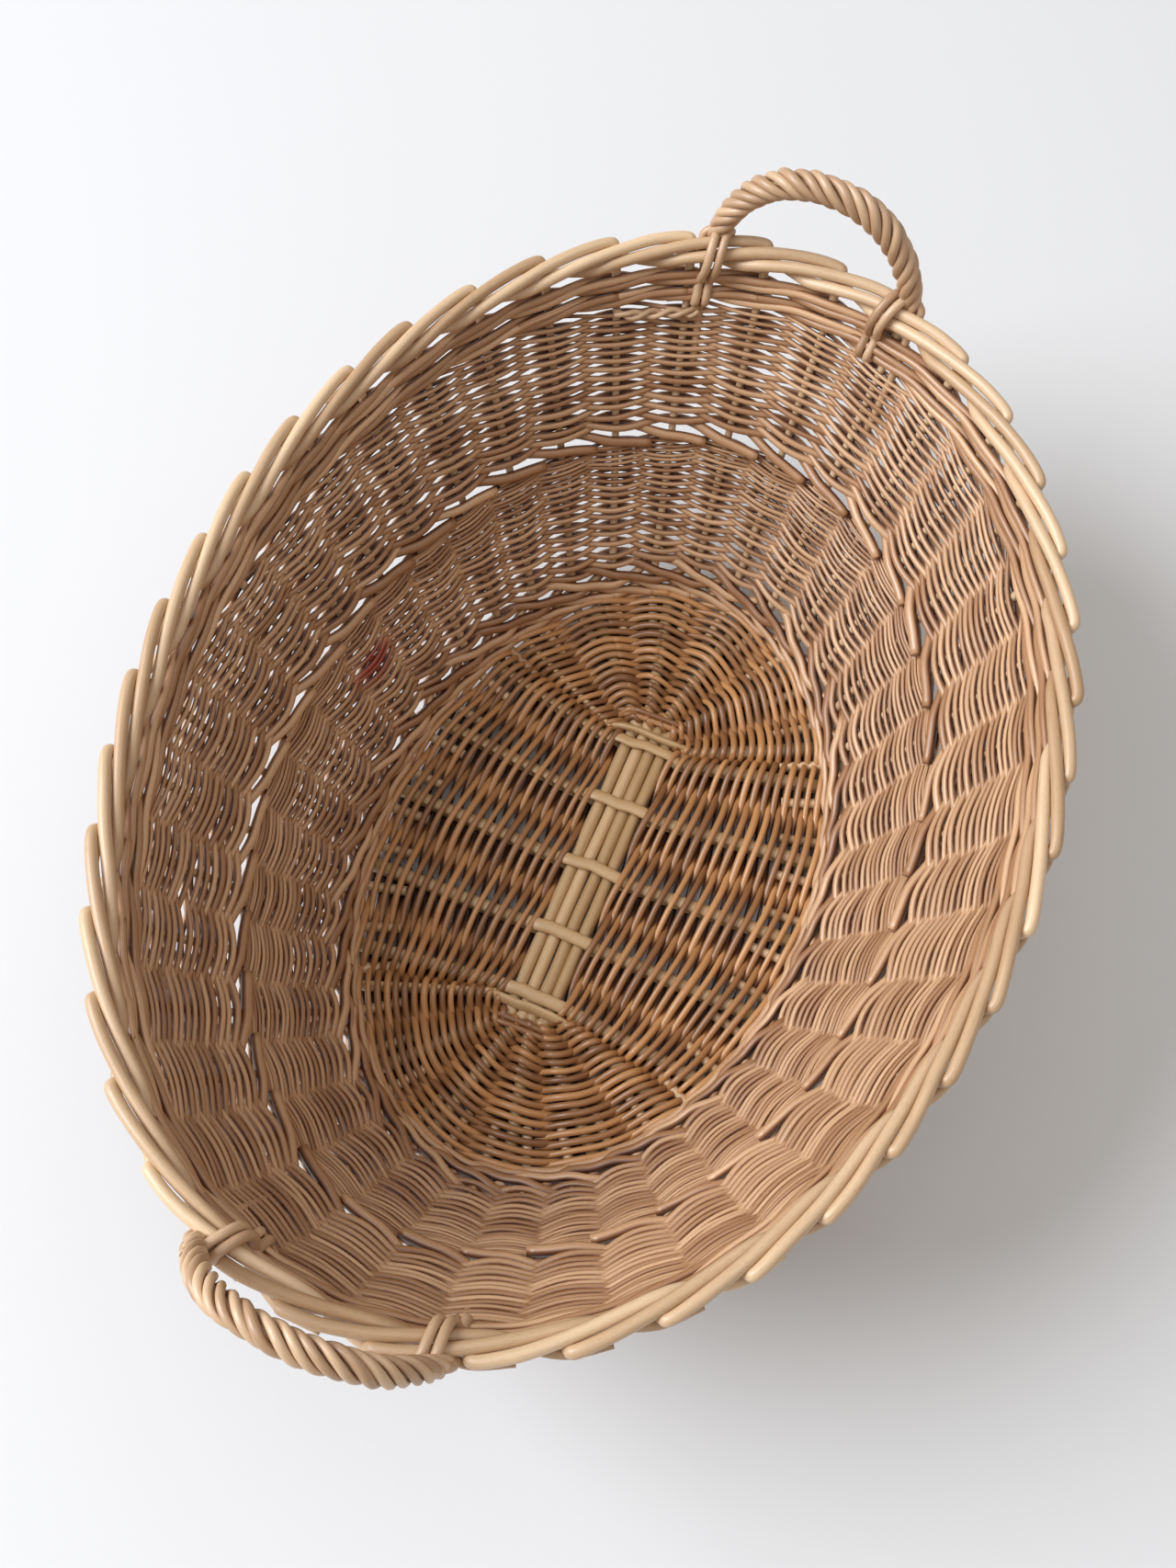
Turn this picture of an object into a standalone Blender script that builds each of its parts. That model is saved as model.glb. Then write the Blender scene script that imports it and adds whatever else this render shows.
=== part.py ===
"""Oval willow basket with two roped end handles, built rod by rod around its stakes.

Metres, +Z up, long axis along X, resting on z = 0.  Forty side stakes start in the base,
climb the wall and turn over at the rim, where each one becomes a rod of the rolled border.
The woven bands between them are solid rings with a channel for every rod that runs through.
"""
import bpy
import bmesh
import math
from mathutils import Matrix, Vector

MM = 0.001
CENTRE_X = 6.03 * MM        # moves the middle of the whole outline, handles included, to x = 0

# ---- wall -------------------------------------------------------------------------------
FOOT_Z, FOOT_A, FOOT_B = 0.016, 0.2085, 0.1435      # stake centreline at the foot (half axes)
RIM_Z, RIM_A, RIM_B = 0.217, 0.3190, 0.2348         # stake centreline at the border
BULGE_A, BULGE_B = 0.0080, 0.0044                   # the wall is a little convex
STAKES = 40
STAKE_R = 3.2 * MM
STAKE_LEVELS = (0.03185, 0.1068, 0.1900, 0.2120)    # straight within each band
CLEAR = 0.35 * MM                                   # between a rod and its channel
STAKE_CHANNEL_R = 3.9 * MM                          # six-sided, clears the rod at any roll

BANDS = {                                           # z low, z high, half thickness
    "bottom_wale": (0.0123, 0.0317, 6.9 * MM),
    "lower_siding": (0.0320, 0.1066, 6.5 * MM),
    "upper_siding": (0.1070, 0.1898, 6.2 * MM),
    "top_wale": (0.1902, 0.2102, 6.9 * MM),
}
BAND_STEPS = 40

# ---- rolled border: path of one rod, (pitches from its own stake, outward mm, up mm) -----
BORDER_RUN = [
    (0.00, 4.0, 6.6), (0.09, 4.7, 9.4), (0.50, 1.3, 9.3), (1.00, -2.9, 8.0), (2.00, -7.2, 1.4),
    (2.50, -0.3, -2.8), (2.75, 4.8, -2.4), (3.00, 7.6, -1.0), (3.55, 8.2, 2.6),
]

# ---- base ---------------------------------------------------------------------------------
BASE_Z = 8.5 * MM                                   # centre height of the base sticks
MAT_LOW, MAT_HIGH = 0.0, 15.0 * MM
MAT_INSET = 10.8 * MM                               # mat edge inside the foot ellipse
CROSS_X0 = -4.5 * MM                                # the stick frame sits slightly off centre
LONG_R, LONG_PITCH = 3.75 * MM, 8.1 * MM
LONG_CLEAR = 0.25 * MM
CROSS_R, CROSS_CLEAR = 3.9 * MM, 0.5 * MM
CROSS_AT = [-98.6, -90.3, -47.0, 0.0, 47.0, 90.3, 98.6]      # mm from CROSS_X0
CROSS_END = [15, 14, 12, 10, 8, 6, 5]               # spoke number each one fans out to
LONG_END = [3, 1, -1, -3]
WINDOW_X, WINDOW_Y = 104.5 * MM, 16.8 * MM          # half size of the open middle
EYE_HALF, EYE_RAMP = 17.0 * MM, 26.0 * MM           # split part of a cross stick
EYE_RISE = 7.1 * MM                                 # half height of the split part
SLOT_HALF_Y, SLOT_HALF_Z = 16.4 * MM, 4.15 * MM
SPOKE_IN = 5.0 * MM                                 # spoke ends stop short of the mat edge
TAIL_DEPTH = 24.0 * MM

# ---- handles --------------------------------------------------------------------------------
LEG_UP, LEG_DOWN = (1.35, -1.65), (1.30, -1.70)     # pitches from the handle's end of the basket
LEG_R, BOW_R, ROPE_R = 2.5 * MM, 3.6 * MM, 9.7 * MM
LEG_CHANNEL_R, BORE_R = 3.3 * MM, 4.5 * MM
LEG_BOTTOM = 0.150
ARCH = [(0.94, 5.6), (0.90, 12.0), (0.83, 21.5), (0.72, 32.0), (0.56, 42.0), (0.36, 49.5),
        (0.12, 53.0)]                               # share of the half chord, rise in mm
TILT = {"1": math.radians(8.0), "2": math.radians(22.0)}
ROPE_LOBES, ROPE_TURN = 4, math.radians(-42.0)

COLOURS = {
    "stake": (0.56, 0.40, 0.23), "base_stick": (0.66, 0.50, 0.30), "base_weave": (0.45, 0.29, 0.15),
    "bottom_wale": (0.46, 0.31, 0.17), "lower_siding": (0.44, 0.29, 0.16),
    "upper_siding": (0.48, 0.33, 0.19), "top_wale": (0.54, 0.38, 0.22),
    "handle_bow": (0.58, 0.42, 0.25), "handle_rope": (0.60, 0.44, 0.27),
}


def clear_scene():
    for obj in list(bpy.data.objects):
        bpy.data.objects.remove(obj, do_unlink=True)


def collection(name):
    made = bpy.data.collections.new(name)
    bpy.context.scene.collection.children.link(made)
    return made


clear_scene()
PARTS = collection("parts")
HELPERS = collection("helpers")


def material_for(name):
    family = next(key for key in COLOURS if name.startswith(key))
    mat = bpy.data.materials.new(name + "_willow")
    mat.use_nodes = True
    shader = mat.node_tree.nodes["Principled BSDF"]
    shader.inputs["Base Color"].default_value = COLOURS[family] + (1.0,)
    shader.inputs["Roughness"].default_value = 0.55
    mat.diffuse_color = COLOURS[family] + (1.0,)
    return mat


# ---- shape of the wall --------------------------------------------------------------------
def wall_axes(z):
    q = (z - FOOT_Z) / (RIM_Z - FOOT_Z)
    swell = 4.0 * q * (1.0 - q)
    return (FOOT_A + (RIM_A - FOOT_A) * q + BULGE_A * swell,
            FOOT_B + (RIM_B - FOOT_B) * q + BULGE_B * swell)


def arc_table(samples=7200):
    a, b = wall_axes(0.112)
    table = [0.0]
    for i in range(samples):
        t0, t1 = 2 * math.pi * i / samples, 2 * math.pi * (i + 1) / samples
        table.append(table[-1] + math.hypot(a * (math.cos(t1) - math.cos(t0)),
                                            b * (math.sin(t1) - math.sin(t0))))
    return table


ARC = arc_table()


def angle_at(pitches):
    """Ellipse angle a number of stake pitches round from +X, equal along the wall."""
    turns, rest = divmod(pitches, STAKES)
    target = rest / STAKES * ARC[-1]
    low, high = 0, len(ARC) - 1
    while high - low > 1:
        mid = (low + high) // 2
        low, high = (mid, high) if ARC[mid] <= target else (low, mid)
    share = (target - ARC[low]) / (ARC[high] - ARC[low])
    return 2 * math.pi * (turns + (low + share) / (len(ARC) - 1))


def ring_point(axes, pitches, outward, z):
    a, b = axes
    t = angle_at(pitches)
    normal = Vector((math.cos(t) / a, math.sin(t) / b, 0.0)).normalized()
    return Vector((a * math.cos(t), b * math.sin(t), z)) + normal * outward


def wall_point(pitches, outward, z):
    return ring_point(wall_axes(z), pitches, outward, z)


def rim_point(pitches, outward_mm, up_mm):
    return ring_point((RIM_A, RIM_B), pitches, outward_mm * MM, RIM_Z + up_mm * MM)


# ---- makers -----------------------------------------------------------------------------------
def lengthened(points, extra):
    """The same path, run on past both ends."""
    first = points[0] + (points[0] - points[1]).normalized() * extra
    last = points[-1] + (points[-1] - points[-2]).normalized() * extra
    return [first] + list(points[1:-1]) + [last]


def mesh_object(name, mesh, helper=False):
    mesh.transform(Matrix.Translation((CENTRE_X, 0.0, 0.0)))
    obj = bpy.data.objects.new(name, mesh)
    (HELPERS if helper else PARTS).objects.link(obj)
    if helper:
        obj.hide_render = True
        obj.display_type = "WIRE"
    else:
        mesh.materials.clear()
        mesh.materials.append(material_for(name))
    return obj


def rod_mesh(name, points, radius, radii=None, resolution=1, section=None, tilts=None):
    """A rod swept along points, closed at both ends."""
    curve = bpy.data.curves.new(name + "_path", "CURVE")
    curve.dimensions = "3D"
    curve.twist_mode = "MINIMUM"
    curve.resolution_u = 1
    curve.render_resolution_u = 0
    curve.use_fill_caps = True
    if section is None:
        curve.bevel_depth = radius
        curve.bevel_resolution = resolution
    else:
        curve.bevel_mode = "OBJECT"
        curve.bevel_object = section
    spline = curve.splines.new("POLY")
    spline.points.add(len(points) - 1)
    for i, (point, co) in enumerate(zip(spline.points, points)):
        point.co = (co[0], co[1], co[2], 1.0)
        point.radius = radii[i] if radii else 1.0
        point.tilt = tilts[i] if tilts else 0.0
    obj = bpy.data.objects.new(name + "_path", curve)
    HELPERS.objects.link(obj)
    bpy.context.view_layer.update()
    evaluated = obj.evaluated_get(bpy.context.evaluated_depsgraph_get())
    mesh = bpy.data.meshes.new_from_object(evaluated)
    mesh.name = name
    bpy.data.objects.remove(obj, do_unlink=True)
    work = bmesh.new()
    work.from_mesh(mesh)
    bmesh.ops.remove_doubles(work, verts=work.verts, dist=0.00001)
    bmesh.ops.recalc_face_normals(work, faces=work.faces)
    work.to_mesh(mesh)
    work.free()
    return mesh


def oval_rod_mesh(name, stations, sides=6):
    """A rod through stations of (centre, half width, half height), standing on its path."""
    work = bmesh.new()
    loops = []
    for i, (centre, wide, high) in enumerate(stations):
        before = stations[max(i - 1, 0)][0]
        after = stations[min(i + 1, len(stations) - 1)][0]
        along = (after - before).normalized()
        side = along.cross(Vector((0.0, 0.0, 1.0))).normalized()
        loop = []
        for k in range(sides):
            turn = 2 * math.pi * (k + 0.5) / sides
            loop.append(work.verts.new(centre + side * wide * math.cos(turn)
                                       + Vector((0, 0, high * math.sin(turn)))))
        loops.append(loop)
    for one, two in zip(loops, loops[1:]):
        for k in range(sides):
            n = (k + 1) % sides
            work.faces.new((one[k], one[n], two[n], two[k]))
    work.faces.new(loops[0])
    work.faces.new(loops[-1])
    bmesh.ops.recalc_face_normals(work, faces=work.faces)
    mesh = bpy.data.meshes.new(name)
    work.to_mesh(mesh)
    work.free()
    return mesh


def ring_mesh(name, section, steps=BAND_STEPS):
    """A closed oval ring: section points are (profile z, outward, z)."""
    work = bmesh.new()
    loops = []
    for i in range(steps):
        pitches = STAKES * i / steps
        loops.append([work.verts.new(ring_point(wall_axes(level), pitches, outward, z))
                      for level, outward, z in section])
    count = len(section)
    for i in range(steps):
        one, two = loops[i], loops[(i + 1) % steps]
        for k in range(count):
            n = (k + 1) % count
            work.faces.new((one[k], one[n], two[n], two[k]))
    bmesh.ops.recalc_face_normals(work, faces=work.faces)
    mesh = bpy.data.meshes.new(name)
    work.to_mesh(mesh)
    work.free()
    return mesh


def box_mesh(name, low, high):
    work = bmesh.new()
    bmesh.ops.create_cube(work, size=1.0)
    for vert in work.verts:
        for axis in range(3):
            vert.co[axis] = low[axis] if vert.co[axis] < 0 else high[axis]
    mesh = bpy.data.meshes.new(name)
    work.to_mesh(mesh)
    work.free()
    return mesh


def joined(name, meshes):
    """One hidden cutter out of several separate closed meshes."""
    work = bmesh.new()
    for mesh in meshes:
        work.from_mesh(mesh)
    together = bpy.data.meshes.new(name)
    work.to_mesh(together)
    work.free()
    return mesh_object(name, together, helper=True)


def cut(obj, cutter):
    modifier = obj.modifiers.new("cut_" + cutter.name, "BOOLEAN")
    modifier.operation = "DIFFERENCE"
    modifier.solver = "EXACT"
    modifier.object = cutter


# ---- base frame ----------------------------------------------------------------------------
MAT_AXES = (FOOT_A - MAT_INSET, FOOT_B - MAT_INSET)
SPOKES = {}                                          # spoke number -> (inner, outer) points


def spoke_end(number):
    return ring_point(MAT_AXES, number, -SPOKE_IN, BASE_Z)


def long_stick_points(index):
    y = LONG_PITCH * (1.5 - index)
    number = LONG_END[index]
    right, left = spoke_end(number), spoke_end(20 - number)
    inner_right = Vector((CROSS_X0 + 106 * MM, y, BASE_Z))
    inner_left = Vector((CROSS_X0 - 106 * MM, y, BASE_Z))
    SPOKES[number % STAKES] = (inner_right, right)
    SPOKES[(20 - number) % STAKES] = (inner_left, left)
    return [left, inner_left, inner_right, right]


def cross_stick_stations(index, extra=0.0):
    x = CROSS_X0 + CROSS_AT[index] * MM
    number = CROSS_END[index]
    top, bottom = spoke_end(number), spoke_end(-number)
    r, tall = CROSS_R + extra, EYE_RISE + extra
    beyond = (top - bottom).normalized() * 1.5 * extra
    ramp = EYE_RAMP + 4.0 * extra
    inner_top = Vector((x, 30 * MM, BASE_Z))
    inner_bottom = Vector((x, -30 * MM, BASE_Z))
    SPOKES[number % STAKES] = (inner_top, top)
    SPOKES[-number % STAKES] = (inner_bottom, bottom)
    return [(bottom - beyond, r, r), (inner_bottom, r, r), (Vector((x, -ramp, BASE_Z)), r, r),
            (Vector((x, -EYE_HALF, BASE_Z)), r, tall), (Vector((x, EYE_HALF, BASE_Z)), r, tall),
            (Vector((x, ramp, BASE_Z)), r, r), (inner_top, r, r), (top + beyond, r, r)]


def spoke_at(number, depth):
    inner, outer = SPOKES[number % STAKES]
    return outer + (inner - outer).normalized() * depth


def build_sticks():
    for i in range(4):
        points = long_stick_points(i)
        mesh_object("base_stick_long_%d" % (i + 1),
                    rod_mesh("base_stick_long_%d" % (i + 1), points, LONG_R))
    slot = box_mesh("slot", (-0.2, -SLOT_HALF_Y, BASE_Z - SLOT_HALF_Z),
                    (0.2, SLOT_HALF_Y, BASE_Z + SLOT_HALF_Z))
    slot_cutter = mesh_object("stick_slot_cutter", slot, helper=True)
    for i in range(7):
        name = "base_stick_cross_%d" % (i + 1)
        cut(mesh_object(name, oval_rod_mesh(name, cross_stick_stations(i))), slot_cutter)


# ---- stakes ----------------------------------------------------------------------------------
def tail_point(pitches):
    numbers = sorted(SPOKES)
    below = max((n for n in numbers if n <= pitches), default=numbers[-1] - STAKES)
    above = min((n for n in numbers if n > pitches), default=numbers[0] + STAKES)
    share = (pitches - below) / (above - below)
    return spoke_at(below, TAIL_DEPTH).lerp(spoke_at(above, TAIL_DEPTH), share)


def stake_points(index):
    u = index + 0.5
    points = [tail_point(u), wall_point(u, 0.0, BASE_Z)]
    points += [wall_point(u, 0.0, z) for z in STAKE_LEVELS]
    points += [rim_point(u + s, w, z) for s, w, z in BORDER_RUN]
    return points


def build_stakes():
    for i in range(STAKES):
        name = "stake_%02d" % (i + 1)
        mesh_object(name, rod_mesh(name, stake_points(i), STAKE_R))


def stake_channels(name, first, last, beyond_first, beyond_last):
    """Straight channels along one stretch of every stake."""
    channels = []
    for i in range(STAKES):
        points = stake_points(i)
        start, end = points[first], points[last]
        along = (end - start).normalized()
        channels.append(rod_mesh("channel", [start - along * beyond_first,
                                             end + along * beyond_last], STAKE_CHANNEL_R))
    return joined(name, channels)


# ---- woven bands ------------------------------------------------------------------------------
def build_mat():
    work = bmesh.new()
    loops = []
    round_edge = 2.0 * MM
    for inset, z in ((2 * round_edge, MAT_LOW), (0.0, MAT_LOW + 1.5 * round_edge),
                     (0.0, MAT_HIGH - round_edge), (round_edge, MAT_HIGH)):
        loops.append([work.verts.new(ring_point(MAT_AXES, STAKES * i / BAND_STEPS, -inset, z))
                      for i in range(BAND_STEPS)])
    for one, two in zip(loops, loops[1:]):
        for i in range(BAND_STEPS):
            n = (i + 1) % BAND_STEPS
            work.faces.new((one[i], one[n], two[n], two[i]))
    work.faces.new(loops[0])
    work.faces.new(loops[-1])
    bmesh.ops.recalc_face_normals(work, faces=work.faces)
    mesh = bpy.data.meshes.new("base_weave")
    work.to_mesh(mesh)
    work.free()
    mat = mesh_object("base_weave", mesh)
    window = box_mesh("window", (CROSS_X0 - WINDOW_X, -WINDOW_Y, -0.01),
                      (CROSS_X0 + WINDOW_X, WINDOW_Y, 0.03))
    cut(mat, mesh_object("window_cutter", window, helper=True))
    cut(mat, joined("long_stick_channels",
                    [rod_mesh("long_channel_%d" % i, lengthened(long_stick_points(i), CLEAR),
                              LONG_R + LONG_CLEAR)
                     for i in range(4)]))
    cut(mat, joined("cross_stick_channels",
                    [oval_rod_mesh("cross_channel_%d" % i, cross_stick_stations(i, CROSS_CLEAR))
                     for i in range(7)]))
    cut(mat, stake_channels("tail_channels", 0, 1, 0.5 * MM, 4.0 * MM))


def build_bands(leg_channels):
    for name, (low, high, half) in BANDS.items():
        section = [(low, -half, low), (low, half, low), (high, half, high), (high, -half, high)]
        if name == "top_wale":
            section = [(low, -half, low), (low, half, low), (high, half - 1.5 * MM, high),
                       (high, -half + 1.5 * MM, high)]
        band = mesh_object(name, ring_mesh(name, section))
        first = 1 + list(BANDS).index(name)
        cut(band, stake_channels(name + "_channels", first, first + 1, 2.0 * MM, 2.0 * MM))
        if name in ("upper_siding", "top_wale"):
            cut(band, leg_channels)


# ---- handles -----------------------------------------------------------------------------------
def leg_points(pitches_up, pitches_down):
    return [wall_point(pitches_down, 0.0, LEG_BOTTOM),
            wall_point(pitches_down, -0.6 * MM, 0.195),
            rim_point(pitches_down + 0.02, -3.9, -6.4),
            rim_point(pitches_up, -0.2, -0.6), rim_point(pitches_up, 2.45, 3.4),
            rim_point(pitches_up, 6.5, 9.5), rim_point(pitches_up, 9.2, 13.8)]


def handle_paths(key):
    start = 0 if key == "1" else 20
    left = leg_points(start + LEG_UP[1], start + LEG_DOWN[1])
    right = leg_points(start + LEG_UP[0], start + LEG_DOWN[0])
    foot_left, foot_right = left[-1], right[-1]
    middle = (foot_left + foot_right) / 2
    half = (foot_right - foot_left) / 2
    outward = Vector((1.0 if key == "1" else -1.0, 0.0, 0.0))
    up = outward * math.sin(TILT[key]) + Vector((0, 0, math.cos(TILT[key])))
    rising = [middle - half * share + up * rise * MM for share, rise in ARCH]
    falling = [middle + half * share + up * rise * MM for share, rise in reversed(ARCH)]
    arch = rising + falling
    return left, arch, right


def rope_section():
    curve = bpy.data.curves.new("rope_section", "CURVE")
    curve.dimensions = "2D"
    spline = curve.splines.new("POLY")
    count = ROPE_LOBES * 3
    spline.points.add(count - 1)
    for i, point in enumerate(spline.points):
        turn = 2 * math.pi * i / count
        r = ROPE_R * (0.86 if i % 3 == 0 else 1.0)
        point.co = (r * math.cos(turn), r * math.sin(turn), 0.0, 1.0)
    spline.use_cyclic_u = True
    obj = bpy.data.objects.new("rope_section", curve)
    obj.hide_render = True
    HELPERS.objects.link(obj)
    return obj


def resampled(points, step):
    lengths = [0.0]
    for one, two in zip(points, points[1:]):
        lengths.append(lengths[-1] + (two - one).length)
    count = max(int(round(lengths[-1] / step)), 1)
    out = []
    for i in range(count + 1):
        at = lengths[-1] * i / count
        k = min(max(sum(1 for length in lengths if length <= at) - 1, 0), len(points) - 2)
        share = (at - lengths[k]) / (lengths[k + 1] - lengths[k])
        out.append(points[k].lerp(points[k + 1], share))
    return out


def build_handles():
    section = rope_section()
    leg_cutters = []
    for key in ("1", "2"):
        left, arch, right = handle_paths(key)
        path = left + arch + right[::-1]
        slim = LEG_R / BOW_R
        radii = [slim] * len(left) + [1.0] * len(arch) + [slim] * len(right)
        bow = mesh_object("handle_bow_" + key,
                          rod_mesh("handle_bow_" + key, path, BOW_R, radii=radii))
        bow["role"] = "core"
        for number, leg in enumerate((left, right)):
            leg_cutters.append(rod_mesh("leg_channel_%s%d" % (key, number),
                                        [leg[0] - Vector((0, 0, 0.0008))] + leg[1:4],
                                        LEG_CHANNEL_R))
        rope_path = resampled(arch, 8.0 * MM)
        tilts = [ROPE_TURN * i for i in range(len(rope_path))]
        rope = mesh_object("handle_rope_" + key,
                           rod_mesh("handle_rope_" + key, rope_path, ROPE_R,
                                    section=section, tilts=tilts))
        bore = rod_mesh("bore_" + key, [left[-1]] + arch + [right[-1]], BORE_R)
        cut(rope, mesh_object("rope_bore_" + key, bore, helper=True))
    return joined("leg_channels", leg_cutters)


build_sticks()
build_stakes()
build_mat()
build_bands(build_handles())
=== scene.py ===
"""The looks of the oval willow basket: each rod of the weave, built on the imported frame."""
import bpy
import math
import numpy as np
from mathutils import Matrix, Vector


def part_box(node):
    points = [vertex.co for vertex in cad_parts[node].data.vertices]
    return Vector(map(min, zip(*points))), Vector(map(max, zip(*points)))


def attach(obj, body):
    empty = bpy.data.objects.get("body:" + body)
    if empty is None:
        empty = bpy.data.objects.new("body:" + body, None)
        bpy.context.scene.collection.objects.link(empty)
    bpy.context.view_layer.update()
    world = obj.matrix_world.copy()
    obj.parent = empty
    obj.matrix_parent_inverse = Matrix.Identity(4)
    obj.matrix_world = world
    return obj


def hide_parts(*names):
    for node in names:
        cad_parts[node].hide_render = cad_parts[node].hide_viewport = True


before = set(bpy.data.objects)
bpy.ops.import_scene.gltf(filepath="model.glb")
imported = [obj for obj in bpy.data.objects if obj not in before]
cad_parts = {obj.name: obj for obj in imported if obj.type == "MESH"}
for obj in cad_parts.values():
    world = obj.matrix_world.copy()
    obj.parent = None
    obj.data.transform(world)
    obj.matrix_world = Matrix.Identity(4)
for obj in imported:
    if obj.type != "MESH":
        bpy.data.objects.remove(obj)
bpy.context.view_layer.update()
MM = 0.001
RANDOM = np.random.default_rng(11)

# ---- the wall, as in the CAD --------------------------------------------------------------------
STAKES = 40
FOOT_Z, FOOT_A, FOOT_B = 0.016, 0.2085, 0.1435
RIM_Z, RIM_A, RIM_B = 0.217, 0.3190, 0.2348
BULGE_A, BULGE_B = 0.0080, 0.0044
BASE_Z = 8.5 * MM
EVEN_Z = 0.112                  # the height at which the stakes are evenly spaced
MIDDLE_X = 0.5 * (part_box("lower_siding")[0][0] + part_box("lower_siding")[1][0])


def band(node):
    low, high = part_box(node)
    return low[2], high[2]


def wall_axes(z):
    q = (np.asarray(z, float) - FOOT_Z) / (RIM_Z - FOOT_Z)
    swell = 4.0 * q * (1.0 - q)
    return (FOOT_A + (RIM_A - FOOT_A) * q + BULGE_A * swell,
            FOOT_B + (RIM_B - FOOT_B) * q + BULGE_B * swell)


def arc_tables():
    a, b = wall_axes(EVEN_Z)
    t = np.linspace(0.0, 2 * math.pi, 7201)
    steps = np.hypot(np.diff(a * np.cos(t)), np.diff(b * np.sin(t)))
    return np.concatenate([[0.0], np.cumsum(steps)]) / steps.sum() * STAKES, t


ARC, ARC_ANGLE = arc_tables()


def oval(u, outward, z, axes):
    """Points u stake pitches round from +X, outward metres out from an oval."""
    u, outward, z = np.broadcast_arrays(np.asarray(u, float), outward, z)
    t = np.interp(np.mod(u, STAKES), ARC, ARC_ANGLE)
    a, b = axes
    nx, ny = np.cos(t) / a, np.sin(t) / b
    size = np.hypot(nx, ny)
    return np.stack([a * np.cos(t) + outward * nx / size + MIDDLE_X,
                     b * np.sin(t) + outward * ny / size, z], -1)


def wall(u, outward, z):
    return oval(u, outward, z, wall_axes(z))


def outward_at(u, z):
    away = wall(u, 0.01, z) - wall(u, 0.0, z)
    return away / np.linalg.norm(away, axis=-1)[..., None]


def rim(u, outward_mm, up_mm):
    return oval(u, np.asarray(outward_mm) * MM, RIM_Z + np.asarray(up_mm) * MM, (RIM_A, RIM_B))


# ---- rods ---------------------------------------------------------------------------------------
def smooth(points, per_step):
    """A Catmull-Rom curve through points, with per_step samples to each step."""
    p = np.asarray(points, float)
    p = np.concatenate([[2 * p[0] - p[1]], p, [2 * p[-1] - p[-2]]])
    out = []
    for i in range(1, len(p) - 2):
        t = np.linspace(0.0, 1.0, per_step, endpoint=False)[:, None]
        a, b, c, d = p[i - 1], p[i], p[i + 1], p[i + 2]
        out.append(0.5 * (2 * b + (c - a) * t + (2 * a - 5 * b + 4 * c - d) * t ** 2
                          + (3 * b - 3 * c + d - a) * t ** 3))
    out.append(p[-2][None, :])
    return np.concatenate(out)


def wander(x, size, length):
    """Slow natural wander along x, different for every rod."""
    total = np.zeros(len(x))
    for harmonic in (1.0, 1.9, 3.3):
        total += np.sin(2 * math.pi * harmonic * x / length + RANDOM.uniform(0, 7)) / harmonic
    return size * total / 1.5


# a reddish stain on the inside of the lower siding
STAIN_U, STAIN_Z = 8.54, 0.078
STAIN, STAIN_OUT = wall(STAIN_U, -3.0 * MM, STAIN_Z), outward_at(STAIN_U, STAIN_Z)
STAIN_WIDE, STAIN_TALL, STAIN_DEEP = 27 * MM, 17 * MM, 5 * MM
# painted shade: the depth over which a rod darkens towards the middle of the weave
PAINTED_SHADE_SCALE = 4.0 * MM        # how fast a rod darkens towards the middle of the weave
FLOOR_MARGIN = 1.12             # a rod's middle is at least this many radii above the floor


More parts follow.
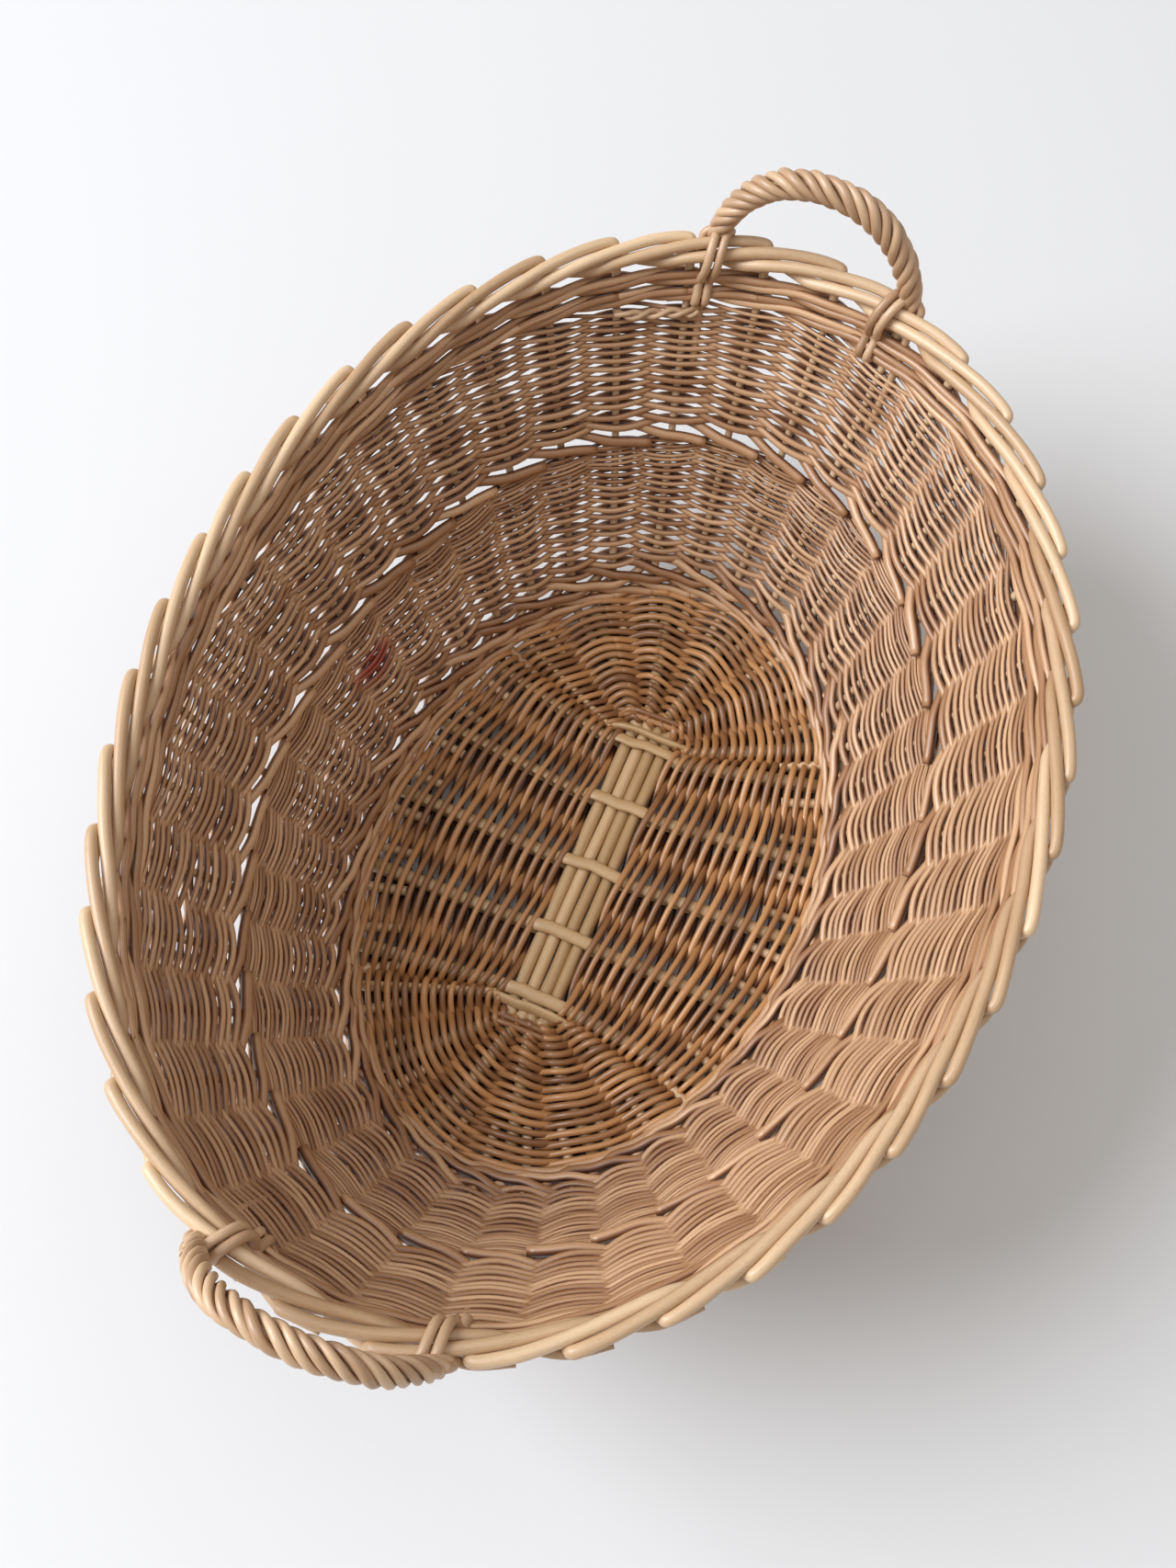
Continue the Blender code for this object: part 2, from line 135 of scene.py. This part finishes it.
class Rods:
    """Willow rods gathered into one mesh, with a tint and a grain for each."""

    def __init__(self):
        self.points, self.faces, self.tint, self.grain, self.open = [], [], [], [], []
        self.count = 0

    def add(self, path, radius, sides=8, flat=1.0, tint=None, depth=None, outward=None):
        """depth and outward say how far the rod stands off the middle of the weave, and which way
        is out: a side that faces into the weave is darkened with painted shade, where shade falls
        between the rods."""
        path = np.array(path, float)
        n = len(path)
        radius = np.broadcast_to(np.asarray(radius, float), (n,)).copy()
        path[:, 2] = np.maximum(path[:, 2], FLOOR_MARGIN * radius)
        along = np.gradient(path, axis=0)
        along /= np.linalg.norm(along, axis=1)[:, None]
        side = np.zeros((n, 3))
        start = np.cross(along[0], (0.0, 0.0, 1.0))
        if np.linalg.norm(start) < 0.1:
            start = np.cross(along[0], (1.0, 0.0, 0.0))
        side[0] = start / np.linalg.norm(start)
        for i in range(1, n):
            turned = side[i - 1] - along[i] * np.dot(side[i - 1], along[i])
            side[i] = turned / np.linalg.norm(turned)
        up = np.cross(side, along)
        length = np.concatenate([[0.0], np.cumsum(np.linalg.norm(np.diff(path, axis=0), axis=1))])
        ring = np.arange(sides) * 2 * math.pi / sides
        across, lift = np.cos(ring), np.sin(ring) * flat
        radius *= 1.0 + wander(length, 0.03, 0.11)
        shell = (path[:, None, :] + radius[:, None, None]
                 * (side[:, None, :] * across[None, :, None]
                    + up[:, None, :] * lift[None, :, None]))
        base = self.count
        self.points.append(shell.reshape(-1, 3))
        index = base + np.arange(n * sides).reshape(n, sides)
        nxt = np.roll(index, -1, axis=1)
        quads = np.stack([index[:-1], nxt[:-1], nxt[1:], index[1:]], -1).reshape(-1, 4)
        self.faces.extend(quads.tolist())
        self.faces.append(index[0][::-1].tolist())
        self.faces.append(index[-1].tolist())
        offset = RANDOM.uniform(0, 50)
        grain = np.empty((n, sides, 3))
        grain[..., 0] = length[:, None] + offset
        grain[..., 1] = across[None, :]
        grain[..., 2] = np.sin(ring)[None, :]
        self.grain.append(grain.reshape(-1, 3))
        # painted shade: 1 keeps the rod's colour, lower values darken the sides that face into the
        # weave
        painted_shade_fac = np.ones((n, sides))
        if depth is not None:
            spoke = shell - path[:, None, :]
            facing = np.einsum("nsk,nk->ns", spoke, outward) / radius[:, None]
            stand_off = np.asarray(depth)[:, None] + facing * radius[:, None]
            painted_shade_fac = np.clip(0.5 + stand_off * facing / PAINTED_SHADE_SCALE, 0, 1)
        self.open.append(painted_shade_fac.reshape(-1))
        value = RANDOM.uniform(0, 1) if tint is None else tint
        self.tint.append(np.full(n * sides, value))
        self.count += n * sides

    def build(self, name, material, node):
        """Make the mesh, which rides on the body and stands for one CAD node."""
        points = np.concatenate(self.points)
        mesh = bpy.data.meshes.new(name)
        mesh.from_pydata(points.tolist(), [], self.faces)
        mesh.polygons.foreach_set("use_smooth",
                                  np.array([len(f) == 4 for f in self.faces], dtype=bool))
        away = points - STAIN
        stain = np.stack([np.hypot(away[:, 0], away[:, 1]) / STAIN_WIDE, away[:, 2] / STAIN_TALL,
                          np.maximum(away @ STAIN_OUT, 0) / STAIN_DEEP], 1)
        stain = np.clip(1.5 - 1.5 * np.linalg.norm(stain, axis=1), 0, 1)
        # the tint, the stain and the painted shade go onto the mesh as point attributes
        for key, values in (("tint", np.concatenate(self.tint)), ("stain", stain),
                            ("painted_shade_fac", np.concatenate(self.open))):
            mesh.attributes.new(key, "FLOAT", "POINT").data.foreach_set(
                "value", values.astype(np.float32))
        mesh.attributes.new("grain", "FLOAT_VECTOR", "POINT").data.foreach_set(
            "vector", np.concatenate(self.grain).astype(np.float32).ravel())
        mesh.update()
        obj = bpy.data.objects.new(name, mesh)
        bpy.context.scene.collection.objects.link(obj)
        mesh.materials.append(material)
        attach(obj, "root")
        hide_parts(node)


# ---- willow -------------------------------------------------------------------------------------
WHITE = (1.0, 1.0, 1.0)
FLECK, STAINED = (0.55, 0.42, 0.32), (0.62, 0.12, 0.07)
# painted shade: the colours that darken a rod's sides which face into the weave
PAINTED_SHADE, HALF_PAINTED_SHADE = (0.07, 0.03, 0.015), (0.46, 0.3, 0.2)


def willow(name, pale, deep, roughness):
    """Willow: streaks along the rod, each rod its own tone, flecks, painted shade in the crevices,
    the stain.
    """
    mat = bpy.data.materials.new(name)
    mat.use_nodes = True
    nodes, links = mat.node_tree.nodes, mat.node_tree.links
    shader = nodes["Principled BSDF"]

    def attribute(key):
        node = nodes.new("ShaderNodeAttribute")
        node.attribute_name = key
        return node

    def noise(vector, scale, detail, stretch):
        mapping = nodes.new("ShaderNodeMapping")
        mapping.inputs["Scale"].default_value = stretch
        links.new(vector, mapping.inputs["Vector"])
        node = nodes.new("ShaderNodeTexNoise")
        node.inputs["Scale"].default_value = scale
        node.inputs["Detail"].default_value = detail
        links.new(mapping.outputs["Vector"], node.inputs["Vector"])
        return node.outputs["Fac"]

    def maths(kind, one, two):
        node = nodes.new("ShaderNodeMath")
        node.operation = kind
        for socket, value in zip(node.inputs, (one, two)):
            if isinstance(value, (int, float)):
                socket.default_value = value
            else:
                links.new(value, socket)
        return node.outputs[0]

    def ramp(value, stops):
        node = nodes.new("ShaderNodeValToRGB")
        elements = node.color_ramp.elements
        while len(elements) < len(stops):
            elements.new(0.5)
        for element, (at, colour) in zip(elements, stops):
            element.position = at
            element.color = (*colour, 1.0)
        links.new(value, node.inputs["Fac"])
        return node.outputs["Color"]

    def multiply(one, two, factor=1.0):
        node = nodes.new("ShaderNodeMix")
        node.data_type = "RGBA"
        node.blend_type = "MULTIPLY"
        node.inputs["Factor"].default_value = factor
        links.new(one, node.inputs["A"])
        links.new(two, node.inputs["B"])
        return node.outputs["Result"]

    grain, tint = attribute("grain"), attribute("tint")
    streak = noise(grain.outputs["Vector"], 6.0, 3.0, (9.0, 0.8, 0.8))
    slow = noise(grain.outputs["Vector"], 3.0, 2.0, (6.0, 0.15, 0.15))
    fine = noise(grain.outputs["Vector"], 14.0, 4.0, (22.0, 2.2, 2.2))
    mixed = maths("ADD", maths("MULTIPLY", tint.outputs["Fac"], 0.60),
                  maths("ADD", maths("MULTIPLY", streak, 0.30), maths("MULTIPLY", slow, 0.35)))
    middle = tuple(0.5 * (p + d) for p, d in zip(pale, deep))
    body = ramp(mixed, [(0.25, deep), (0.60, middle), (0.95, pale)])
    flecks = ramp(fine, [(0.30, FLECK), (0.44, WHITE)])
    # painted shade between the rods, read from the per-point attribute
    painted_shade_colour = ramp(attribute("painted_shade_fac").outputs["Fac"],
                   [(0.0, PAINTED_SHADE), (0.38, HALF_PAINTED_SHADE), (0.66, WHITE)])
    stain = ramp(attribute("stain").outputs["Fac"], [(0.0, WHITE), (1.0, STAINED)])
    colour = multiply(multiply(multiply(body, flecks, 0.75), painted_shade_colour), stain)
    links.new(colour, shader.inputs["Base Color"])
    shader.inputs["Roughness"].default_value = roughness
    shader.inputs["Specular IOR Level"].default_value = 0.8
    bump = nodes.new("ShaderNodeBump")
    bump.inputs["Strength"].default_value = 0.25
    bump.inputs["Distance"].default_value = 0.0004
    links.new(streak, bump.inputs["Height"])
    links.new(bump.outputs["Normal"], shader.inputs["Normal"])
    return mat


WILLOW_WALL = willow("willow_siding", (0.67, 0.42, 0.235), (0.30, 0.132, 0.05), 0.40)
WILLOW_BORDER = willow("willow_border", (0.74, 0.53, 0.33), (0.42, 0.245, 0.12), 0.45)
WILLOW_BASE = willow("willow_base_weave", (0.57, 0.285, 0.108), (0.19, 0.073, 0.024), 0.38)
WILLOW_STICK = willow("willow_base_stick", (0.64, 0.43, 0.225), (0.42, 0.25, 0.105), 0.45)
WILLOW_HANDLE = willow("willow_handle", (0.66, 0.45, 0.275), (0.37, 0.205, 0.105), 0.42)

# ---- border and stakes --------------------------------------------------------------------------
# a stake bent over into the border: (pitches on from the stake, mm out of the rim, mm above it)
BORDER_RUN = [
    (0.00, 3.4, 5.6), (0.10, 4.9, 8.8), (0.50, 2.4, 9.9), (1.00, -1.3, 9.0), (1.50, -4.4, 6.9),
    (2.00, -6.3, 3.6), (2.35, -5.2, -0.6), (2.65, 0.2, -3.6), (3.00, 5.2, -3.8), (3.45, 5.6, -4.4),
]
STAKE_R, WALL_STAKE_R, BORDER_R = 3.15 * MM, 2.4 * MM, 3.45 * MM
BORDER_TIP_R = 1.7 * MM
STAKE_STEPS = 6


def build_stakes():
    for i in range(STAKES):
        u = i + 0.5
        foot = oval(u, np.array([-34.0, -20.0, -9.0]) * MM, BASE_Z, wall_axes(FOOT_Z))
        turn = wall(u, -1.2 * MM, 0.0105)[None, :]
        rise = wall(u, 0.3 * MM, np.array([0.018, 0.030, 0.050, 0.075, 0.100, 0.125, 0.150, 0.175,
                                           0.195, 0.210]))
        run = np.array(BORDER_RUN)
        shift = RANDOM.normal(0, 0.25, (len(run), 2)) * [[1.0, 0.7]]
        over = rim(u + run[:, 0], run[:, 1] + shift[:, 0], run[:, 2] + shift[:, 1])
        path = smooth(np.concatenate([foot, turn, rise, over]), STAKE_STEPS)
        turn_at = (len(foot) + 1) * STAKE_STEPS
        top_at = turn_at + len(rise) * STAKE_STEPS
        radius = np.interp(np.arange(len(path)),
                           [0, turn_at, turn_at + 12, top_at - 12, top_at + 3, len(path) - 20,
                            len(path)],
                           [STAKE_R, STAKE_R, WALL_STAKE_R, WALL_STAKE_R, BORDER_R, BORDER_R,
                            BORDER_TIP_R])
        rods = Rods()
        rods.add(path, radius, sides=12)
        node = "stake_%02d" % (i + 1)
        rods.build(node + "_rod", WILLOW_BORDER, node)


# ---- siding: one weaver to each stake, inside one stake and outside the next --------------------
def loosen(u, z):
    """Unevenness of the packing, shared by neighbouring rods."""
    return (0.9 * np.sin(0.83 * u + 40 * z) + 0.7 * np.sin(1.71 * u - 63 * z + 1.3)
            + 0.5 * np.sin(2.9 * u + 95 * z + 0.4)) * MM


def build_siding(name, node, up, passes, gap, drop, start, radii):
    """up: how far above the band's foot the first pass lies. gap: the rise of the first pass.
    drop: how far the butts hang below it. start: where a weaver begins, in pitches before its
    stake. radii: the butt, the weaver's lower part and its tip."""
    steps = 8
    rods = Rods()
    low, high = band(node)
    butt_r, weaver_r, tip_r = radii
    first_z, last_z = low + up, high - 1.4 * MM
    curve = (gap * passes - (last_z - first_z)) / passes ** 2
    butt_inside = start > -0.8
    for j in range(STAKES):
        k = np.arange(start, passes + 0.3, 1.0 / steps)
        lead = np.clip((k + 0.7) / 1.5, 0, 1)
        z = first_z + gap * k - curve * np.maximum(k, 0) ** 2 - drop * (1 - lead) ** 2
        size = 1 + RANDOM.normal(0, 0.06)
        radius = size * np.interp(k, [start, 0.2, 1.1, 3.0, passes],
                                  [butt_r, butt_r, 0.5 * (butt_r + weaver_r), weaver_r, tip_r])
        reach = 1.8 * MM + 0.9 * radius
        swing = np.where((k < 0) & butt_inside, 1.0, np.cos(math.pi * k))
        u = j + 0.5 + k + RANDOM.normal(0, 0.02)
        z = z + loosen(u, z) + wander(k, 0.5 * MM, 7.0)
        w = -reach * swing + wander(k, 0.25 * MM, 5.0)
        # depth and outward set the painted shade on the weaver's sides that face into the wall
        rods.add(wall(u, w, z), radius, sides=8, depth=w, outward=outward_at(u, z))
    rods.build(name, WILLOW_WALL, node)


# ---- wales: three rods to a row, each inside two stakes and outside the next --------------------
WALE_PHASE = [-0.5, 0.0, 0.5, 1.0, 1.5, 2.0, 2.5]


def build_wale(name, node, rows):
    """Each row is (height above the band's foot, rod radius, reach inwards, reach outwards,
    climb of a stroke), in mm."""
    steps = 10
    rods = Rods()
    low = band(node)[0]
    for r, row in enumerate(rows):
        up, radius, inward, outward, climb = (value * MM for value in row)
        for strand in range(3):
            s = np.arange(0.0, STAKES + 2.6, 1.0 / steps)
            phase = np.mod(s + 0.5, 3.0) - 0.5
            w = np.interp(phase, WALE_PHASE, [-0.25 * inward, -inward, -0.72 * inward,
                                              -0.92 * inward, -0.1 * inward, outward,
                                              -0.25 * inward])
            lift = climb * np.interp(phase, WALE_PHASE, [-0.5, -0.55, -0.3, 0.15, 0.5, 0.1, -0.5])
            blur = [0.12, 0.22, 0.32, 0.22, 0.12]
            w = np.convolve(np.pad(w, 2, mode="edge"), blur, mode="valid")
            lift = np.convolve(np.pad(lift, 2, mode="edge"), blur, mode="valid")
            u = 0.5 + strand + 13.0 * r + s
            z = low + up + lift + wander(s, 0.35 * MM, 9.0)
            size = radius * (1 + RANDOM.normal(0, 0.05)) * (1 + wander(s, 0.05, 11.0))
            # depth and outward set the painted shade on the wale rod's sides that face into the
            # wall
            rods.add(wall(u, w, z), size, sides=8, depth=w, outward=outward_at(u, z))
    rods.build(name, WILLOW_WALL, node)


# ---- base ---------------------------------------------------------------------------------------
MAT_INSET = 10.8 * MM
MAT_AXES = (FOOT_A - MAT_INSET, FOOT_B - MAT_INSET)
CROSS_X0 = -4.5 * MM
LONG_R, LONG_PITCH, CROSS_R = 4.0 * MM, 8.15 * MM, 4.1 * MM
# where the cross sticks lie (mm from the middle), and the stake that each stick ends at
CROSS_AT = [-98.6, -90.3, -47.0, 0.0, 47.0, 90.3, 98.6]
CROSS_END = [15, 14, 12, 10, 8, 6, 5]
LONG_END = [3, 1, -1, -3]
SPOKES = {}                     # stake number: the stick that runs to it, from the inside


def base_point(x, y, z=BASE_Z):
    return np.array([x + MIDDLE_X, y, z])


def spoke_end(number, outset=1.0 * MM):
    return oval(number % STAKES, outset, BASE_Z, MAT_AXES)


def note_spoke(number, points):
    SPOKES[number % STAKES] = [np.asarray(p, float) for p in points]


def build_base_sticks():
    for i in range(4):
        y = LONG_PITCH * (1.5 - i)
        number = LONG_END[i]
        right, left = spoke_end(number), spoke_end(20 - number)
        inner_right = base_point(CROSS_X0 + 106 * MM, y)
        inner_left = base_point(CROSS_X0 - 106 * MM, y)
        note_spoke(number, [inner_right, right])
        note_spoke(20 - number, [inner_left, left])
        middle = [base_point(CROSS_X0 + x * MM, y + RANDOM.normal(0, 0.25) * MM)
                  for x in (-100, -70, -35, 0, 35, 70, 100)]
        path = smooth([left, inner_left] + middle + [inner_right, right], 8)
        rods = Rods()
        rods.add(path, LONG_R * (1 + wander(path[:, 0], 0.02, 0.2)), sides=16)
        rods.build("long_stick_%d" % (i + 1), WILLOW_STICK, "base_stick_long_%d" % (i + 1))
    for i in range(7):
        x = CROSS_X0 + CROSS_AT[i] * MM
        number = CROSS_END[i]
        top, bottom = spoke_end(number), spoke_end(-number)
        note_spoke(number, [base_point(x, 18 * MM), base_point(x, 30 * MM), top])
        note_spoke(-number, [base_point(x, -18 * MM), base_point(x, -30 * MM), bottom])
        rods = Rods()
        bend = RANDOM.normal(0, 0.5, 5) * MM
        for half in (1, -1):
            stations = [(bottom, 0.0), (base_point(x, -30 * MM), 0.0),
                        (base_point(x + bend[0], -24 * MM), 0.6), (base_point(x, -17 * MM), 3.4),
                        (base_point(x + bend[1], -8 * MM), 3.9), (base_point(x + bend[2], 0), 4.0),
                        (base_point(x + bend[3], 8 * MM), 3.9), (base_point(x, 17 * MM), 3.4),
                        (base_point(x + bend[4], 24 * MM), 0.6), (base_point(x, 30 * MM), 0.0),
                        (top, 0.0)]
            path = smooth([p + [0, 0, half * (2.0 + rise) * MM] for p, rise in stations], 6)
            rods.add(path, CROSS_R, sides=14, flat=0.55, tint=0.6)
        rods.build("cross_stick_%d" % (i + 1), WILLOW_STICK, "base_stick_cross_%d" % (i + 1))


def build_base_weave():
    numbers = sorted(SPOKES)
    rods = Rods()
    rows = 16
    radius = 2.2 * MM
    bend = 0.12                 # the share of a row's run that a cross stick's inner part takes
    for r in range(rows):
        share = (r + 0.35) / rows
        knots = []
        for number in numbers:
            spoke = SPOKES[number]
            inner, outer = spoke[0], spoke_end(number, 6.0 * MM)
            if len(spoke) == 3 and share < bend:
                knots.append(inner + (spoke[1] - inner) * share / bend)
            elif len(spoke) == 3:
                knots.append(spoke[1] + (outer - spoke[1]) * (share - bend) / (1 - bend))
            else:
                knots.append(inner + (outer - inner) * share)
        knots = np.array(knots)
        count = len(knots)
        steps = 10
        loop = smooth(np.concatenate([knots[-2:], knots, knots[:4]]), steps)
        loop = loop[2 * steps:(count + 3) * steps]
        s = np.arange(len(loop)) / steps
        along = np.gradient(loop, axis=0)
        along /= np.linalg.norm(along, axis=1)[:, None]
        aside = np.stack([along[:, 1], -along[:, 0], np.zeros(len(loop))], -1)
        for strand in range(2):
            turn = math.pi * (s + strand + r)
            lift = np.cos(turn) * (CROSS_R + radius * 0.86)
            sway = wander(s, 0.35 * MM, 6.0)
            path = loop + aside * (np.sin(turn) * radius * 0.95 + sway)[:, None]
            path[:, 2] += lift * (1 + wander(s, 0.08, 4.0))
            # painted shade: depth and outward darken the strands' sides that face the middle of the
            # mat
            rods.add(path, radius * (1 + RANDOM.normal(0, 0.07)), sides=8,
                     depth=path[:, 2] - BASE_Z, outward=np.tile([0.0, 0.0, 1.0], (len(path), 1)))
    for end in (1, -1):
        for offset in (108.5, 112.6):
            x = CROSS_X0 + end * offset * MM
            points = [base_point(x - end * 3 * MM, -30 * MM, BASE_Z - 2 * MM),
                      base_point(x, -20 * MM, BASE_Z + 2.5 * MM),
                      base_point(x, -13 * MM, BASE_Z + 5.6 * MM), base_point(x, 0, BASE_Z + 6 * MM),
                      base_point(x, 13 * MM, BASE_Z + 5.6 * MM),
                      base_point(x, 20 * MM, BASE_Z + 2.5 * MM),
                      base_point(x - end * 3 * MM, 30 * MM, BASE_Z - 2 * MM)]
            rods.add(smooth(points, 6), 2.0 * MM, sides=8)
    rods.build("base_weave_rods", WILLOW_BASE, "base_weave")


# ---- handles ------------------------------------------------------------------------------------
LEG_UP, LEG_DOWN = (1.35, -1.65), (1.30, -1.70)
LEG_R, BOW_R = 2.5 * MM, 3.6 * MM
# half the arch: (share of its half width, mm above its feet)
ARCH = [(0.94, 5.6), (0.90, 12.0), (0.83, 21.5), (0.72, 32.0), (0.56, 42.0), (0.36, 49.5),
        (0.12, 53.0)]
TILT = {"1": math.radians(8.0), "2": math.radians(22.0)}
STRANDS, LEAD = 5, 44.0 * MM
ROPE_OUT = {"1": 8.7 * MM, "2": 7.6 * MM}
CHORD = {"1": 0.90, "2": 0.94}
# a rod wrapped over the border, from outside to inside: (mm out of the rim, mm above it)
WRAP = [(6.5, 13.5), (3.0, 15.6), (-2.5, 14.8), (-8.3, 11.4), (-12.3, 5.6), (-13.0, -1.0),
        (-10.8, -8.0), (-9.2, -14.0)]
WRAP_R = 2.65 * MM
TAIL_R, TAIL_Z = 1.65 * MM, 0.1875


def leg_points(up, down):
    return [wall(down, 0.0, 0.150), wall(down, -0.6 * MM, 0.195), rim(down + 0.02, -3.9, -6.4),
            rim(up, -0.2, -0.6), rim(up, 2.45, 3.4), rim(up, 6.5, 9.5), rim(up, 9.2, 13.8)]


def unit_tangents(path):
    along = np.gradient(path, axis=0)
    return along / np.linalg.norm(along, axis=1)[:, None]


def add_rope(rope, key, arch, half, up):
    """The strands twisted round the core of one handle."""
    length = np.concatenate([[0], np.cumsum(np.linalg.norm(np.diff(arch, axis=0), axis=1))])
    share = length / length[-1]
    flat_normal = np.cross(half / np.linalg.norm(half), up)
    side = np.cross(unit_tangents(arch), flat_normal)
    strand_r = 0.325 * ROPE_OUT[key]
    reach = (ROPE_OUT[key] - strand_r) * np.interp(share, [0, 0.1, 0.3, 0.7, 0.9, 1.0],
                                                   [0.45, 0.78, 1.0, 1.0, 0.78, 0.45])
    for n in range(STRANDS):
        turn = -2 * math.pi * (length / LEAD + n / STRANDS) + wander(length, 0.12, 0.08)
        out = side * np.cos(turn)[:, None] + flat_normal * np.sin(turn)[:, None]
        loose = reach + wander(length, 0.35 * MM, 0.05)
        # painted shade: each strand is darkened on the side that faces the core
        rope.add(arch + out * loose[:, None], strand_r * (1 + RANDOM.normal(0, 0.05)), sides=10,
                 depth=np.full(len(arch), 1.5 * MM), outward=out)


def add_wraps(rope, start, middle, reach, up):
    """Two rods from each foot of the handle, over the border and tucked into the wall."""
    for sign, top, slant in ((1, 1.08, 0.22), (-1, -1.38, 0.16)):
        for n in (-1, 1):
            u = start + top + 0.072 * n
            across = np.linspace(0, 1, len(WRAP))
            over = [rim(u + slant * t, w, z) for t, (w, z) in zip(across, WRAP)]
            tuck = [wall(u + slant * 1.05, -7.0 * MM, 0.1945),
                    wall(u + slant * 1.1, -2.5 * MM, 0.1895),
                    wall(u + slant * 1.1, 3.0 * MM, 0.186)]
            lead_in = [middle + sign * reach * 0.93 + up * 17 * MM,
                       middle + sign * reach * 0.99 + up * 6 * MM]
            rope.add(smooth(lead_in + over + tuck, 6), WRAP_R, sides=10)


def add_tail(rope, start):
    """The short twisted tail that lies along the wall under the far handle."""
    for n in (0, 1):
        u = np.linspace(start + 1.32, start + 2.55, 40)
        turn = (u - u[0]) * 2 * math.pi * 1.7 + n * math.pi
        depth = np.interp(u, [u[0], u[0] + 0.12, u[-1] - 0.2, u[-1]], [-5.0, -8.2, -7.6, -3.0])
        rope.add(wall(u, (depth + 1.5 * np.cos(turn)) * MM, TAIL_Z + 1.5 * MM * np.sin(turn)),
                 TAIL_R, sides=8)


def build_handles():
    for key, start, lean in (("1", 0, 1), ("2", 20, -1)):
        left = leg_points(start + LEG_UP[1], start + LEG_DOWN[1])
        right = leg_points(start + LEG_UP[0], start + LEG_DOWN[0])
        middle, half = (left[-1] + right[-1]) / 2, (right[-1] - left[-1]) / 2
        left[-1] = middle - (0.25 + 0.75 * CHORD[key]) * half
        right[-1] = middle + (0.25 + 0.75 * CHORD[key]) * half
        up = np.array([math.sin(TILT[key]) * lean, 0, math.cos(TILT[key])])
        reach = CHORD[key] * half
        rising = [middle - reach * share + up * rise * MM for share, rise in ARCH]
        falling = [middle + reach * share + up * rise * MM for share, rise in reversed(ARCH)]
        feet = [middle - reach - up * 9.0 * MM, middle + reach - up * 9.0 * MM]
        arch = smooth([feet[0]] + rising + falling + [feet[1]], 14)
        steps = 5
        path = smooth(left + rising + falling + right[::-1], steps)
        radius = np.full(len(path), BOW_R)
        radius[:len(left) * steps] = LEG_R
        radius[-len(left) * steps:] = LEG_R
        bow = Rods()
        bow.add(path, radius, sides=10)
        bow.build("handle_core_" + key, WILLOW_HANDLE, "handle_bow_" + key)
        rope = Rods()
        add_rope(rope, key, arch, half, up)
        add_wraps(rope, start, middle, reach, up)
        if key == "1":
            add_tail(rope, start)
        rope.build("handle_strands_" + key, WILLOW_HANDLE, "handle_rope_" + key)


build_stakes()
build_siding("lower_weavers", "lower_siding", -0.4 * MM, 36, 3.2 * MM, 1.4 * MM, -1.0,
             (2.3 * MM, 2.0 * MM, 1.0 * MM))
build_siding("upper_weavers", "upper_siding", 3.5 * MM, 29, 3.2 * MM, 2.1 * MM, -0.62,
             (3.25 * MM, 2.05 * MM, 1.35 * MM))
build_wale("top_wale_rods", "top_wale", [(4.3, 2.35, 4.6, 5.2, -6.4),
                                         (14.2, 2.55, 4.6, 5.2, -6.4)])
build_wale("bottom_wale_rods", "bottom_wale", [(3.6, 2.9, 5.6, 4.6, 4.4),
                                               (13.4, 3.15, 7.0, 5.2, 7.6)])
build_base_sticks()
build_base_weave()
build_handles()


# ---- floor, light and camera --------------------------------------------------------------------
FLOOR_SIZE, FLOOR_COLOUR, FLOOR_ROUGHNESS = 6.0, (0.69, 0.69, 0.695, 1), 0.7
AIR_COLOUR, AIR_STRENGTH = (1.0, 0.945, 0.88, 1), 0.44
LIGHT_AT = (0, 0, 0.1)
CAMERA_PLACE = (-0.3357 + MIDDLE_X, -0.1351, 1.0336)
CAMERA_WAY = (0.0511 + 0.3357, 0.0253 + 0.1351, 0.004 - 1.0336)
LENS, SENSOR = 39.3, 36.0


def aim(way):
    return Vector(way).to_track_quat("-Z", "Y").to_euler()


def add_light(name, place, size, power, colour):
    light = bpy.data.lights.new(name, "AREA")
    light.shape = "DISK"
    light.size = size
    light.energy = power
    light.color = colour
    obj = bpy.data.objects.new(name, light)
    bpy.context.scene.collection.objects.link(obj)
    obj.location = place
    obj.rotation_euler = aim(np.array(LIGHT_AT) - np.array(place))


def build_stage():
    mesh = bpy.data.meshes.new("floor")
    mesh.from_pydata([(x * FLOOR_SIZE, y * FLOOR_SIZE, 0)
                      for x, y in ((-1, -1), (1, -1), (1, 1), (-1, 1))], [], [(0, 1, 2, 3)])
    floor = bpy.data.objects.new("floor", mesh)
    bpy.context.scene.collection.objects.link(floor)
    mat = bpy.data.materials.new("floor")
    mat.use_nodes = True
    shader = mat.node_tree.nodes["Principled BSDF"]
    shader.inputs["Base Color"].default_value = FLOOR_COLOUR
    shader.inputs["Roughness"].default_value = FLOOR_ROUGHNESS
    mesh.materials.append(mat)

    add_light("window_light", (-1.5, 4.25, 4.2), 4.2, 475.0, (0.94, 0.985, 1.05))
    add_light("fill_light", (0.2, -0.6, 3.0), 2.6, 14.0, (1, 1, 1))
    world = bpy.data.worlds.new("world")
    world.use_nodes = True
    air = world.node_tree.nodes["Background"]
    air.inputs["Color"].default_value = AIR_COLOUR
    air.inputs["Strength"].default_value = AIR_STRENGTH
    bpy.context.scene.world = world
    bpy.context.scene.view_settings.view_transform = "Standard"

    camera = bpy.data.cameras.new("camera")
    camera.sensor_fit = "VERTICAL"
    camera.sensor_height = SENSOR
    camera.lens = LENS
    obj = bpy.data.objects.new("camera", camera)
    bpy.context.scene.collection.objects.link(obj)
    obj.location = CAMERA_PLACE
    obj.rotation_euler = aim(CAMERA_WAY)
    bpy.context.scene.camera = obj


build_stage()
